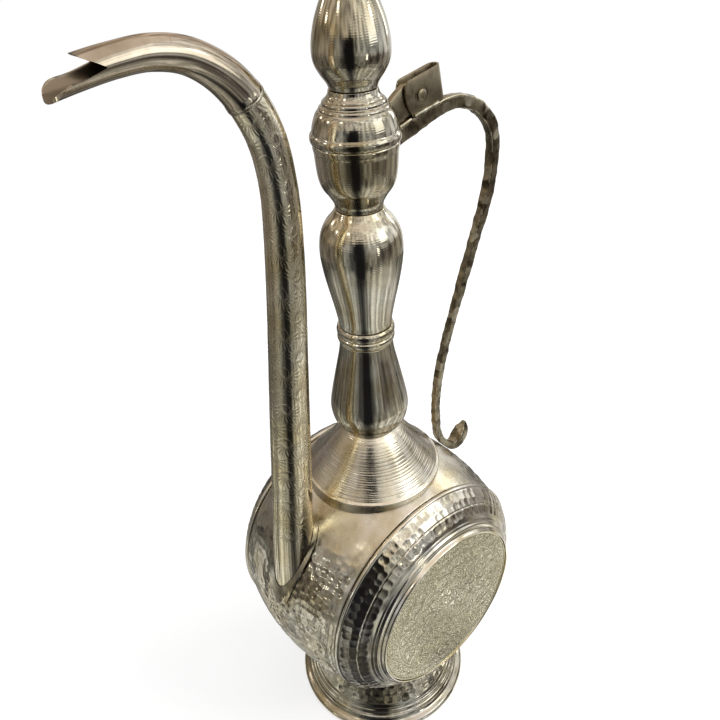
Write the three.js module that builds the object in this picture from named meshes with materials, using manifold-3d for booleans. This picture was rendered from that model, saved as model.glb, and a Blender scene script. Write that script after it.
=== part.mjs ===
// Brass ewer: a round hammered flask on a foot, a turned neck, a swept spout and a hinged lid.
// Millimetres, +Z up. The origin is the centre of the foot where it meets the table.
// The spout points to -X, the handle to +X, and the two engraved discs face -Y and +Y.
import * as THREE from 'three';
import { mergeVertices } from 'three/addons/utils/BufferGeometryUtils.js';
import loadManifold from 'manifold-3d';

const wasm = await loadManifold();
wasm.setup();

// Driving dimensions
const GAP = 0.3; // left between two pieces that are soldered together
const WALL = 1.4; // thickness of the raised and spun sheet
const BODY_Z = 111.8; // height of the centre of the flask
const BODY_R = 73.5; // flask radius in its middle plane
const BARREL_END_R = 66.5; // flask radius where the dished faces start
const BARREL_END_Y = 40.2;
const DISC_R = 48.1; // engraved disc
const DISC_Y = 60.0; // distance of its edge from the middle plane
const FOOT_R = 54.2;
const CONE_R = 36.9; // rim of the shoulder cone
const CONE_Z = 183.2;
const MOUTH_Z = 360.6; // rim of the mouth
const HINGE_X = 35.3; // axis of the lid hinge, along Y
const HINGE_Z = 372.4;
const PIN_R = 1.6;
const TONGUE_HALF = 1.5; // half the width of the lid's hinge tongue
const LEAF_IN = 2.2; // inner and outer face of each leaf of the hinge strap
const LEAF_OUT = 3.2;

// Facets around each kind of turned piece
const BODY_FACETS = 32;
const FOOT_FACETS = 28;
const NECK_FACETS = 20;
const SPOUT_FACETS = 12;
const SMALL_FACETS = 16;

// Metals
const metal = (color, roughness) => new THREE.MeshStandardMaterial({ color, roughness, metalness: 1 });
const POLISHED = [0xcfc7a4, 0.18];
const SATIN = [0xc3b797, 0.34];
const ENGRAVED = [0xb3ab84, 0.42];
const DARK = [0x6f6346, 0.4];
const DULL = [0x8d8872, 0.5];

// A geometry with its corners merged, without empty faces, and with all faces pointing out
function weld(geometry) {
  geometry.deleteAttribute('normal');
  geometry.deleteAttribute('uv');
  const merged = mergeVertices(geometry, 1e-4);
  const at = merged.attributes.position;
  const faces = [];
  let volume = 0;
  const corner = [0, 1, 2].map(() => new THREE.Vector3());
  for (let i = 0; i < merged.index.count; i += 3) {
    const face = [0, 1, 2].map((k) => merged.index.getX(i + k));
    if (new Set(face).size < 3) continue;
    faces.push(face);
    corner.forEach((v, k) => v.fromBufferAttribute(at, face[k]));
    volume += corner[0].dot(corner[1].clone().cross(corner[2]));
  }
  if (volume < 0) faces.forEach((face) => face.reverse());
  merged.setIndex(faces.flat());
  return merged;
}

function solid(geometry) {
  const welded = weld(geometry);
  const mesh = new wasm.Mesh({
    numProp: 3,
    vertProperties: new Float32Array(welded.attributes.position.array),
    triVerts: new Uint32Array(welded.index.array),
  });
  return new wasm.Manifold(mesh);
}

function node(name, manifold, [color, roughness]) {
  const mesh = manifold.getMesh();
  const geometry = new THREE.BufferGeometry();
  const at = [];
  for (let i = 0; i < mesh.vertProperties.length; i += mesh.numProp) {
    at.push(...mesh.vertProperties.slice(i, i + 3));
  }
  geometry.setAttribute('position', new THREE.Float32BufferAttribute(at, 3));
  geometry.setIndex(Array.from(mesh.triVerts));
  geometry.computeVertexNormals();
  const made = new THREE.Mesh(geometry, metal(color, roughness));
  made.name = name;
  return made;
}

// The same piece on the far side, half a turn about the vertical axis
function facingBack(mesh) {
  mesh.rotation.z = Math.PI;
  return mesh;
}

// A smooth run of points through a few [radius, height] pairs
function smooth(pairs, steps) {
  const curve = new THREE.SplineCurve(pairs.map(([r, z]) => new THREE.Vector2(r, z)));
  return curve.getSpacedPoints(steps).map((p) => [p.x, p.y]);
}

// A run of points moved sideways by a wall thickness, kept level at its two ends
function inset(pairs, thickness) {
  return pairs.map(([r, z], i) => {
    if (i === 0 || i === pairs.length - 1) return [r - thickness, z];
    const [r0, z0] = pairs[i - 1];
    const [r1, z1] = pairs[i + 1];
    const length = Math.hypot(r1 - r0, z1 - z0);
    return [r - (thickness * (z1 - z0)) / length, z + (thickness * (r1 - r0)) / length];
  });
}

// A closed section between an outer and an inner run, both listed from bottom to top
const section = (outer, inner) => [...outer, ...[...inner].reverse(), outer[0]];

const points = (pairs) => pairs.map(([r, z]) => new THREE.Vector2(r, z));
const turned = (pairs, facets) => solid(new THREE.LatheGeometry(points(pairs), facets).rotateX(Math.PI / 2));
const spun = (pairs, facets) =>
  solid(new THREE.LatheGeometry(points(pairs), facets).translate(0, 0, BODY_Z));

// A plate with a side view in X and Z, centred on the middle plane
function plate(outline, halfWidth) {
  const shape = new THREE.Shape(points(outline));
  const geometry = new THREE.ExtrudeGeometry(shape, { depth: 2 * halfWidth, bevelEnabled: false });
  return solid(geometry.translate(0, 0, -halfWidth).rotateX(Math.PI / 2));
}

// A rod along the hinge axis, long enough to cut through both leaves
function hingeRod(radius) {
  const rod = new THREE.CylinderGeometry(radius, radius, 4 * LEAF_OUT, SMALL_FACETS);
  return solid(rod.translate(HINGE_X, 0, HINGE_Z));
}

// A closed tube of rings along a curve in the XZ plane. size gives each ring's two half sizes:
// in the plane of the curve and across it. power 2 is round, and a larger one is squarer.
// A crowding above 1 sets the rings closer towards the end of the curve.
function sweep(curve, steps, facets, size, power = 2, crowding = 1) {
  const at = [];
  const faces = [];
  for (let i = 0; i <= steps; i += 1) {
    const t = 1 - (1 - i / steps) ** crowding;
    const centre = curve.getPointAt(t);
    const along = curve.getTangentAt(t);
    const [inPlane, across] = size(t);
    for (let k = 0; k < facets; k += 1) {
      const angle = (2 * Math.PI * (k + 0.5)) / facets;
      const round = (c) => Math.sign(c) * Math.abs(c) ** (2 / power);
      const u = inPlane * round(Math.cos(angle));
      at.push(centre.x - along.y * u, across * round(Math.sin(angle)), centre.y + along.x * u);
      if (i === steps) continue;
      const a = i * facets + k;
      const b = i * facets + ((k + 1) % facets);
      faces.push(a, b, b + facets, a, b + facets, a + facets);
    }
  }
  for (let k = 1; k < facets - 1; k += 1) {
    const last = steps * facets;
    faces.push(0, k + 1, k, last, last + k, last + k + 1);
  }
  const geometry = new THREE.BufferGeometry();
  geometry.setAttribute('position', new THREE.Float32BufferAttribute(at, 3));
  geometry.setIndex(faces);
  return solid(geometry);
}

// The two sizes at a place, read off a few [place, size, size] rows, straight between them
function sizesAt(rows, place) {
  const next = Math.max(1, rows.findIndex(([end]) => end >= place));
  const [start, ...before] = rows[next - 1];
  const [end, ...after] = rows[next];
  const share = (place - start) / (end - start);
  return before.map((value, i) => value + (after[i] - value) * share);
}

// The flask's wall in its middle plane is an arc of this radius, turned about the Y axis
const BULGE = BODY_R - BARREL_END_R;
const ARC_R = (BARREL_END_Y ** 2 + BULGE ** 2) / (2 * BULGE);
const barrelR = (y) => BODY_R - ARC_R + Math.sqrt(ARC_R ** 2 - y ** 2);

function barrelRun(offset, reach, steps) {
  return Array.from({ length: steps + 1 }, (_, i) => {
    const y = reach * ((2 * i) / steps - 1);
    return [barrelR(Math.min(Math.abs(y), BARREL_END_Y)) + offset, y];
  });
}

const barrelSolid = (offset, reach = BARREL_END_Y) =>
  spun([[0, -reach], ...barrelRun(offset, reach, 6), [0, reach]], BODY_FACETS);

// Flask

function bodyBarrel() {
  const wall = spun(
    section(barrelRun(0, BARREL_END_Y, 6), barrelRun(-WALL, BARREL_END_Y, 6)), BODY_FACETS);
  const neckHole = turned([[0, 160], [11, 160], [11, 200], [0, 200]], SMALL_FACETS);
  const spoutHole = sweep(spoutCurve, 20, 8, () => [6.2, 6.2]);
  return wall.subtract(neckHole).subtract(spoutHole);
}

// The dished face: a bead in the groove, a hammered slope, a hollow moulding and the disc's seat
function dishSection() {
  const slopeIn = [66.2, -43.4];
  const slopeOut = [53.9, -55.5];
  const crown = 1.3;
  const slope = [0.33, 0.67].map((t) => {
    const rise = (crown * 4 * t * (1 - t)) / Math.SQRT2;
    return [
      slopeIn[0] + (slopeOut[0] - slopeIn[0]) * t + rise,
      slopeIn[1] + (slopeOut[1] - slopeIn[1]) * t - rise,
    ];
  });
  const front = [
    [65.8, -40.8], [66.9, -41.3], [67.1, -42.3], slopeIn, ...slope, slopeOut,
    [52.9, -56.1], [51.9, -57.5], [50.4, -57.9], [49.4, -59.0], [49.0, -60.5], [DISC_R + GAP, -60.6],
  ];
  const back = [[64.2, -40.8], [63.6, -43.6], [52.6, -54.2], [46.4, -57.2]];
  const seat = [[DISC_R + GAP, -58.5], [46.4, -58.5]];
  return [...front, ...seat, ...[...back].reverse(), front[0]];
}

const dish = () => spun(dishSection(), BODY_FACETS);

function disc() {
  const sheet = 1.1;
  const crown = 0.9;
  return spun([
    [0, -DISC_Y - crown], [DISC_R * 0.5, -DISC_Y - crown * 0.75], [DISC_R - 1.2, -DISC_Y - 0.1],
    [DISC_R, -DISC_Y + 0.3], [DISC_R, -DISC_Y + sheet], [0, -DISC_Y + sheet]], BODY_FACETS);
}

// Foot

function foot() {
  const outer = [
    [FOOT_R - 0.4, 0], [FOOT_R, 0.8], [FOOT_R - 0.1, 2.2], [52.9, 3.2], [50.6, 4.0], [48.9, 5.8], [48.4, 8.2],
    [47.4, 8.9], [47.1, 10.4], [46.0, 11.2], [45.6, 12.4], [44.8, 13.0],
    ...smooth([[44.6, 13.4], [42.4, 20], [38.9, 27.5], [34.8, 34.6], [31.8, 41.5], [30.6, 50]], 4),
  ];
  const inner = [
    [52.0, 0], [52.0, 1.6], [44.6, 9.0], [40.6, 20], [32.8, 34.6], [29.6, 42], [29.0, 50],
  ];
  return turned(section(outer, inner), FOOT_FACETS).subtract(barrelSolid(GAP, 48));
}

// The foot is closed with a flat disc, which the ewer stands on together with the rim
const basePlate = () => turned([[0, 0], [51.7, 0], [51.7, 1.3], [0, 1.3]], FOOT_FACETS);

// Shoulder and neck

function shoulderCone() {
  const outer = [
    [CONE_R - 0.5, 150], [CONE_R - 0.5, CONE_Z - 0.9], [CONE_R, CONE_Z - 0.4], [CONE_R - 0.3, CONE_Z + 0.3],
    ...smooth([[35.4, 184.0], [30.0, 190.2], [25.3, 196.1], [21.2, 201.6], [17.2, 206.6], [14.3, 209.8]], 6),
  ];
  const inner = [
    [CONE_R - 2, 150], [CONE_R - 2, 181.6],
    [33.6, 183.0], [28.4, 189.0], [19.6, 200.4], [12.6, 209.8],
  ];
  return turned(section(outer, inner), FOOT_FACETS).subtract(barrelSolid(GAP));
}

// A hollow turned piece of the neck. Its bore follows the outside with every second point.
function neckPiece(outer) {
  const inner = inset(outer, WALL).filter((_, i) => i % 2 === 0 || i === outer.length - 1);
  return turned(section(outer, inner), NECK_FACETS);
}

const neckLowerBulb = () => neckPiece(smooth([
  [13.9, 210.2], [16.4, 212.4], [18.9, 216.6], [20.1, 222.6], [19.8, 227.2], [18.9, 232.4], [17.4, 239.6],
  [15.4, 248.8], [13.8, 256.4], [13.0, 262.6]], 10));

const neckRing = () => turned(section(
  [[13.2, 263.0], [13.9, 264.2], [14.1, 265.8], [13.4, 267.2], [14.1, 268.6], [14.1, 270.2], [13.2, 271.8]],
  [[11.8, 263.0], [11.8, 271.8]]), NECK_FACETS);

const neckUpperBulb = () => neckPiece(smooth([
  [12.9, 272.2], [13.2, 275.6], [14.6, 283.4], [16.6, 292.8], [18.3, 302.0], [19.2, 311.0], [18.4, 319.0],
  [15.9, 324.6], [12.6, 328.6], [11.0, 331.2]], 10));

function mouthCup() {
  const outer = [
    ...smooth([[10.9, 331.5], [11.1, 334.0], [13.2, 337.8], [15.9, 341.8], [17.3, 347.0], [18.1, 356.8]], 6),
    [18.9, 357.6], [19.1, 358.6], [19.1, MOUTH_Z]];
  const inner = [
    [9.5, 331.5], [9.6, 334.6], [14.3, 342.4], [15.9, 347.6], [16.6, 356.8], [16.6, MOUTH_Z]];
  return turned(section(outer, inner), NECK_FACETS);
}

// Spout: the middle line of the tube, from inside the flask up and over to the tip of the lip
const SPOUT_LINE = points([
  [-60.5, 126], [-57.2, 165], [-53.6, 199], [-49.8, 239], [-46.4, 273], [-43.5, 302], [-41.4, 329],
  [-40.8, 350], [-43.2, 369.4], [-49.0, 384.4], [-58.0, 396.6], [-70.3, 405.2], [-83.4, 408.6],
  [-96.4, 408.5], [-108.6, 407.2], [-121.0, 405.3]]);
const spoutCurve = new THREE.SplineCurve(SPOUT_LINE);
// Half the tube's size in the plane of the line and across it, by share of the way along. It is
// round up to the bend, and the beak gets lower and wider towards the lip.
const SPOUT_SIZE = [
  [0, 10.8, 10.8], [0.14, 10.5, 10.5], [0.28, 9.9, 9.9], [0.46, 8.9, 8.9], [0.55, 8.5, 8.5],
  [0.63, 8.0, 8.0], [0.67, 7.6, 7.6], [0.76, 7.7, 7.7], [0.8, 7.3, 7.3], [0.84, 6.4, 6.4],
  [0.88, 5.9, 5.9], [0.92, 5.5, 6.2], [0.96, 5.5, 7.4], [1, 5.3, 9.4]];
const SPOUT_WALL = 1.2;
const SPOUT_JOINT = 0.772; // where the engraved tube ends and the plain bend starts
const SPOUT_STEPS = 32;
const BORE_FACETS = 8;

function spoutSweep(curve, extra, facets = SPOUT_FACETS) {
  return sweep(curve, SPOUT_STEPS, facets, (t) => sizesAt(SPOUT_SIZE, t).map((size) => size + extra));
}

// The bore runs on 1 mm past both ends of the tube
function spoutBore() {
  const line = SPOUT_LINE.map((p) => p.clone());
  line[0].sub(spoutCurve.getTangentAt(0));
  line[line.length - 1].add(spoutCurve.getTangentAt(1));
  return spoutSweep(new THREE.SplineCurve(line), -SPOUT_WALL, BORE_FACETS);
}

// A large block on one side of the seam, square to the tube there
function seamSide(sign) {
  const centre = spoutCurve.getPointAt(SPOUT_JOINT);
  const way = spoutCurve.getTangentAt(SPOUT_JOINT).multiplyScalar(sign);
  const size = 400;
  const block = new THREE.BoxGeometry(size, size, size).translate(size / 2 + GAP / 2, 0, 0);
  block.rotateY(-Math.atan2(way.y, way.x)).translate(centre.x, 0, centre.y);
  return solid(block);
}

const spoutTube = (tube) => tube.intersect(seamSide(-1)).subtract(barrelSolid(GAP));

// The mouth of the beak in side view: the upper wall ends in a point, and the rim of the lower one
// falls from the corner of the mouth to the lip
const UPPER_EDGE = [[-101.0, 408.1], [-104.4, 410.0], [-107.6, 411.0], [-105.0, 414.4]];
const LOWER_EDGE = [
  [-121.0, 401.6], [-117.6, 403.4], [-114.2, 405.2], [-109.6, 405.9], [-105.4, 406.9]];
// The lip in plan: half an ellipse
const LIP_START_X = -112.0;
const LIP_LENGTH = 7.8;
const LIP_HALF = 9.6;

function spoutBeak(tube) {
  const clear = 25; // past the tube on every side
  const [tipX, tipZ] = LOWER_EDGE[0];
  const mouth = plate([
    ...UPPER_EDGE, [tipX + clear / 2, tipZ + clear], [tipX - clear, tipZ + clear], [tipX - clear, tipZ],
    ...LOWER_EDGE], clear);
  const lip = new THREE.Shape();
  lip.moveTo(-30, -clear);
  lip.lineTo(LIP_START_X, -clear);
  lip.absellipse(LIP_START_X, 0, LIP_LENGTH, LIP_HALF, 1.5 * Math.PI, 0.5 * Math.PI, true);
  lip.lineTo(LIP_START_X, clear);
  lip.lineTo(-30, clear);
  const plan = new THREE.ExtrudeGeometry(lip, { depth: 120, bevelEnabled: false, curveSegments: 8 });
  return tube.intersect(seamSide(1)).subtract(mouth).intersect(solid(plan.translate(0, 0, 340)));
}

// The seat: a drop-shaped sheet bent to the flask, which shows around the foot of the spout
const SEAT_RIM = 2.6;
const SEAT_SHEET = 1.0;
const SEAT_TIP = [-72.6, 122.5];
const SEAT_TIP_SIZE = [14, 8.8]; // length of the pointed part and half its width where it starts

function spoutSeat() {
  const [length, half] = SEAT_TIP_SIZE;
  const depth = 20;
  const point = new THREE.ExtrudeGeometry(
    new THREE.Shape(points([[-length, -half], [0, 0], [-length, half]])), { depth, bevelEnabled: false });
  const tilt = Math.atan2(SEAT_TIP[1] - BODY_Z, -SEAT_TIP[0]);
  const down = new THREE.Vector3(-Math.sin(tilt), 0, -Math.cos(tilt));
  const inward = new THREE.Vector3(Math.cos(tilt), 0, -Math.sin(tilt));
  const frame = new THREE.Matrix4().makeBasis(down, new THREE.Vector3(0, 1, 0), inward);
  point.translate(0, 0, -depth / 2).applyMatrix4(frame).translate(SEAT_TIP[0], 0, SEAT_TIP[1]);
  return spoutSweep(spoutCurve, SEAT_RIM)
    .add(solid(point))
    .intersect(barrelSolid(GAP + SEAT_SHEET))
    .subtract(barrelSolid(GAP))
    .subtract(spoutSweep(spoutCurve, GAP));
}

// Handle: a square bar, deep where it leaves the mouth, thinner down its length and curled up at
// its end
const handleCurve = new THREE.SplineCurve(points([
  [16.0, 355.4], [30.0, 359.0], [45.7, 362.9], [55.5, 364.3], [64.6, 363.3], [74.2, 359.3], [82.3, 352.4],
  [87.0, 345.0], [88.8, 335.8], [88.2, 323.0], [85.6, 310.4], [80.4, 296.4], [72.8, 276.4], [63.2, 250.7],
  [56.8, 232.0], [52.4, 214.0], [50.2, 197.0], [50.4, 182.0], [52.2, 170.6], [56.4, 162.4], [61.4, 156.6],
  [66.6, 155.2], [71.2, 158.4], [74.2, 163.0], [75.4, 167.2]]));
// Half the bar's depth in the plane of the handle and half its width, by share of the way along.
// The end swells into a bud.
const HANDLE_SIZE = [
  [0, 4.4, 2.7], [0.06, 4.5, 2.7], [0.1, 3.8, 2.7], [0.13, 3.5, 2.7], [0.3, 3.3, 2.7], [0.6, 2.5, 2.2],
  [0.84, 2.3, 2.2], [0.91, 2.3, 2.4], [0.935, 2.5, 3.2], [0.955, 3.3, 4.2], [0.97, 3.8, 4.4],
  [0.985, 3.0, 3.6], [1, 0.7, 1.2]];
const HANDLE_STEPS = 46;
const HANDLE_FACETS = 8;
const SQUARE = 6;
const CROWDING = 1.35;

const handleSweep = (size) => sweep(handleCurve, HANDLE_STEPS, HANDLE_FACETS, size, SQUARE, CROWDING);

// The bar made a gap deeper and wider than the hinge, to cut the pieces that stand on it
const handleCutter = () => handleSweep((t) => [sizesAt(HANDLE_SIZE, t)[0] + GAP, 3 * LEAF_OUT]);

// The bar's upper end is filed to fit the outside of the mouth
function handle() {
  const top = MOUTH_Z + 5;
  const low = MOUTH_Z - 20;
  const cup = turned([
    [0, low], [18.4, low], [18.4, 356.8], [19.4, 357.2], [19.6, MOUTH_Z], [19.6, top],
    [0, top]], NECK_FACETS);
  return handleSweep((t) => sizesAt(HANDLE_SIZE, t)).subtract(barrelSolid(GAP)).subtract(cup);
}

// Hinge: a strap folded to a U stands on the bar, and the lid's tongue turns between its two leaves

const FOLD_X = 46.4; // centre of the fold, at the height below
const FOLD_Z = 375.0;
const STRAP_LEAN = 12; // degrees that the strap leans back from upright
const STRAP_SIDE = [
  [31.4, 362.6], [28.4, 367.0], [26.3, 371.6], [25.9, 375.6], [27.1, 379.0], [46.6, 382.8], [60, 385.5],
  [60, 364], [40, 362]];

function hingeStrap() {
  const height = 60;
  const half = (radius) => {
    const arc = new THREE.Path().absarc(0, 0, radius, -Math.PI / 2, Math.PI / 2, false);
    return [[-FOLD_X, -radius], ...arc.getPoints(7).map((p) => [p.x, p.y]), [-FOLD_X, radius]];
  };
  const folded = new THREE.Shape(points([...half(LEAF_OUT), ...half(LEAF_IN).reverse()]));
  const strap = new THREE.ExtrudeGeometry(folded, { depth: height, bevelEnabled: false });
  strap.translate(0, 0, -height / 2);
  strap.rotateY(-THREE.MathUtils.degToRad(STRAP_LEAN)).translate(FOLD_X, 0, FOLD_Z);
  return solid(strap)
    .intersect(plate(STRAP_SIDE, 2 * LEAF_OUT))
    .subtract(handleCutter())
    .subtract(hingeRod(PIN_R + GAP));
}

// The pin is riveted over outside both leaves
function hingePin() {
  const head = 2.5;
  const inner = LEAF_OUT + GAP;
  const run = [
    [0, -inner - 1], [1.5, -inner - 0.9], [head, -inner - 0.4], [head, -inner], [PIN_R, -inner],
    [PIN_R, inner], [head, inner], [head, inner + 0.4], [1.5, inner + 0.9], [0, inner + 1]];
  return solid(new THREE.LatheGeometry(points(run), SMALL_FACETS).translate(HINGE_X, 0, HINGE_Z));
}

// Lid
const LID_RUN = [
  [19.0, MOUTH_Z + GAP], [19.3, 361.7], [19.3, 363.6], [18.9, 364.6], [18.3, 365.2], [18.0, 367.2],
  [17.2, 370.0], [16.2, 372.4], [15.2, 373.8], [14.5, 374.1], [14.3, 375.2], [13.3, 376.1], [13.0, 377.2],
  [11.8, 378.2], [10.8, 379.8], [10.3, 381.6]];

function lidDome() {
  const under = [
    [16.6, MOUTH_Z + GAP], [16.6, 364.6], [15.8, 368.2], [14.0, 371.8], [11.0, 374.8], [6.0, 376.8],
    [2.6, 377.0], [2.6, 381.6]];
  return turned(section(LID_RUN, under), NECK_FACETS);
}

// The ring under the lid that drops into the mouth
function lidBezel() {
  const outer = [[15.2, 358.4], [15.2, 360.8], [16.2, 361.4], [16.2, 364.2]];
  return turned(section(outer, [[13.8, 358.4], [13.8, 364.2]]), NECK_FACETS);
}

const KNUCKLE_R = 5.4;

function lidTongue() {
  const knuckle = new THREE.Path().absarc(HINGE_X, HINGE_Z, KNUCKLE_R, Math.PI * 0.62, -Math.PI * 0.6, true);
  const side = [
    [12, 364.4], [12, 369], [18.2, 372.0], [22.8, 375.2], [27.0, 377.5],
    ...knuckle.getPoints(12).map((p) => [p.x, p.y]),
    [30.2, 364.5], [27.0, 364.1]];
  const dome = turned([[0, 360], ...LID_RUN.map(([r, z]) => [r + GAP, z]), [0, 381.6]], NECK_FACETS);
  return plate(side, TONGUE_HALF).subtract(dome).subtract(hingeRod(PIN_R + 0.4));
}

const FINIAL_BORE = 2.5;

function finialBulb() {
  const outer = smooth([
    [9.9, 381.9], [10.8, 384.2], [13.4, 388.0], [15.3, 392.0], [15.8, 396.4], [15.3, 401.4], [13.9, 407.2],
    [11.8, 412.8], [9.2, 418.2], [6.9, 422.4], [6.2, 424.4]], 11);
  return turned(section(outer, [[FINIAL_BORE, 381.9], [FINIAL_BORE, 424.4]]), NECK_FACETS);
}

function finialTip() {
  const outer = [
    [5.6, 424.7], [6.6, 425.4], [6.6, 426.2], [4.6, 427.4], [3.9, 428.4], [4.8, 430.0], [5.3, 432.2],
    [4.6, 434.8], [2.8, 437.2], [0, 438.8]];
  return turned(section(outer, [[FINIAL_BORE, 424.7], [FINIAL_BORE, 429.0], [0, 429.0]]), SMALL_FACETS);
}

// The stud inside the finial is riveted over under the lid
const finialStud = () => turned([
  [0, 373.0], [4.2, 373.0], [5.2, 374.0], [5.2, 375.4], [2.2, 375.8], [2.2, 428.6], [0, 428.6]], 12);

const ewer = new THREE.Group();
const tube = spoutSweep(spoutCurve, 0).subtract(spoutBore());
ewer.add(
  node('body_barrel', bodyBarrel(), SATIN),
  node('front_dish', dish(), POLISHED),
  facingBack(node('back_dish', dish(), POLISHED)),
  node('front_disc', disc(), ENGRAVED),
  facingBack(node('back_disc', disc(), ENGRAVED)),
  node('foot', foot(), POLISHED),
  node('base_plate', basePlate(), DULL),
  node('shoulder_cone', shoulderCone(), POLISHED),
  node('neck_lower_bulb', neckLowerBulb(), POLISHED),
  node('neck_ring', neckRing(), POLISHED),
  node('neck_upper_bulb', neckUpperBulb(), POLISHED),
  node('mouth_cup', mouthCup(), POLISHED),
  node('spout_seat', spoutSeat(), SATIN),
  node('spout_tube', spoutTube(tube), ENGRAVED),
  node('spout_beak', spoutBeak(tube), POLISHED),
  node('handle', handle(), DARK),
  node('hinge_strap', hingeStrap(), DULL),
  node('hinge_pin', hingePin(), DULL),
  node('lid_dome', lidDome(), POLISHED),
  node('lid_bezel', lidBezel(), DULL),
  node('lid_tongue', lidTongue(), DULL),
  node('finial_bulb', finialBulb(), POLISHED),
  node('finial_tip', finialTip(), POLISHED),
  node('finial_stud', finialStud(), DULL),
);

export default ewer;
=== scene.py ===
import math

import bmesh
import bpy
import numpy as np
from mathutils import Matrix, Vector
from mathutils.kdtree import KDTree


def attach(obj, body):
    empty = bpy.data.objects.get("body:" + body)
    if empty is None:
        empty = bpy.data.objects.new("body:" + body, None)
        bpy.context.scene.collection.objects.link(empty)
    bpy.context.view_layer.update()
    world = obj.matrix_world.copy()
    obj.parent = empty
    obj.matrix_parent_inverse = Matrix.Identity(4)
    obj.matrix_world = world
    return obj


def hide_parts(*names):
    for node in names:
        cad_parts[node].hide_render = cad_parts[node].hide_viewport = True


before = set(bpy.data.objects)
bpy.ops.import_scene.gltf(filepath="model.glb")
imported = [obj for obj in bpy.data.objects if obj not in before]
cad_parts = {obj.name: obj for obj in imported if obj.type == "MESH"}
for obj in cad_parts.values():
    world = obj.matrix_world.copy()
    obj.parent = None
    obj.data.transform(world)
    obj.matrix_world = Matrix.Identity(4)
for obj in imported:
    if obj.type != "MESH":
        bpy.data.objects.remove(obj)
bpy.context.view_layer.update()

# A brass ewer: a round hammered flask on a foot, a turned neck, a swept spout and a hinged lid.
# Shapes are worked out in millimetres and turned into metres when a mesh is made.
# +Z is up, the spout points to -X, the handle to +X, and the engraved discs face -Y and +Y.

MM = 0.001
GAP = 0.3
WALL = 1.4
BODY_Z = 111.8
BODY_R = 73.5
BARREL_END_R = 66.5
BARREL_END_Y = 40.2
DISC_R = 48.1
DISC_Y = 60.0
FOOT_R = 54.2
CONE_R = 36.9
CONE_Z = 183.2
MOUTH_Z = 360.6
HINGE_X = 35.3
HINGE_Z = 372.4
PIN_R = 1.6
TONGUE_HALF = 1.5
LEAF_IN = 2.2
LEAF_OUT = 3.2
SMOOTH_Z = 170.0  # the flask's shoulder is smooth above this height
EDGE = 0.35  # radius of a broken edge
FULL_TURN = 2 * math.pi


# Lines and outlines

def spline(points, per_span=80):
    """A smooth line through the points."""
    at = np.array(points, float)
    padded = np.vstack([at[:1], at, at[-1:]])
    t = np.arange(per_span)[:, None] / per_span
    spans = []
    for a, b, c, d in zip(padded, padded[1:], padded[2:], padded[3:]):
        v0 = (c - a) / 2
        v1 = (d - b) / 2
        spans.append((2 * b - 2 * c + v0 + v1) * t**3 + (3 * c - 3 * b - 2 * v0 - v1) * t**2 + v0 * t + b)
    return np.vstack([*spans, at[-1:]])


def lengths(line):
    steps = np.linalg.norm(np.diff(line, axis=0), axis=1)
    return np.concatenate([[0], np.cumsum(steps)])


def even(line, step):
    """The same line with its points about one step apart."""
    line = np.array(line, float)
    run = lengths(line)
    places = np.linspace(0, run[-1], max(2, round(run[-1] / step) + 1))
    return np.column_stack([np.interp(places, run, line[:, k]) for k in range(line.shape[1])])


def rounded(outline, radius=EDGE, steps=4, closed=True):
    """The outline with its corners broken."""
    at = np.array(outline, float)
    out = []
    t = np.linspace(0, 1, steps + 1)[:, None]
    for i, b in enumerate(at):
        if not closed and i in (0, len(at) - 1):
            out.append(b[None])
            continue
        back = at[i - 1] - b
        on = at[(i + 1) % len(at)] - b
        back_length = np.linalg.norm(back)
        on_length = np.linalg.norm(on)
        if np.dot(back, on) / (back_length * on_length) < -math.cos(math.radians(12)):
            out.append(b[None])
            continue
        cut = min(radius, 0.45 * back_length, 0.45 * on_length)
        start = b + back / back_length * cut
        end = b + on / on_length * cut
        out.append((1 - t) ** 2 * start + 2 * t * (1 - t) * b + t**2 * end)
    return np.vstack(out)


def sideways(line):
    """The direction square to a flat line at each of its points."""
    way = np.gradient(line, axis=0)
    way /= np.linalg.norm(way, axis=1)[:, None]
    return np.column_stack([-way[:, 1], way[:, 0]])


def turns(count, shift=0.0):
    """Even angles over a full turn, moved on by a share of a step."""
    return FULL_TURN * (np.arange(count) + shift) / count


# Grids of points, and the meshes made of them

def upright(outline, around):
    """An outline of radius and height turned about the vertical axis."""
    angle = turns(around)
    r = outline[:, :1]
    return np.stack([r * np.cos(angle), r * np.sin(angle), outline[:, 1:] + 0 * angle], axis=2)


def facing(outline, around):
    """An outline of radius and Y turned about the flask's own axis."""
    x, z, y = np.moveaxis(upright(outline, around), 2, 0)
    return np.stack([x, y, BODY_Z + z], axis=2)


def swept(line, sizes, around, power=2.0):
    """Rings along a line in the XZ plane. sizes are each ring's half sizes, in the plane and across.
    A power of 2 makes the rings round, and a larger one makes them square with rounded corners."""
    angle = turns(around, 0.5)
    c, s = (np.sign(f) * np.abs(f) ** (2 / power) for f in (np.cos(angle), np.sin(angle)))
    side = sideways(line)
    u = sizes[:, :1] * c
    return np.stack([line[:, :1] + side[:, :1] * u, sizes[:, 1:] * s, line[:, 1:] + side[:, 1:] * u], axis=2)


def normals(grid, closed):
    """The outward direction at each point of a grid whose rows go round a ring."""
    along = np.roll(grid, -1, 0) - np.roll(grid, 1, 0) if closed else np.gradient(grid, axis=0)
    around = np.roll(grid, -1, 1) - np.roll(grid, 1, 1)
    n = np.cross(around, along)
    size = np.linalg.norm(n, axis=2, keepdims=True)
    return n / np.maximum(size, 1e-9)


def raised(grid, height, closed=True):
    """The grid moved outward by a height at each point."""
    return grid + normals(grid, closed) * height[..., None] * facing_sign(grid, closed)


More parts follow.
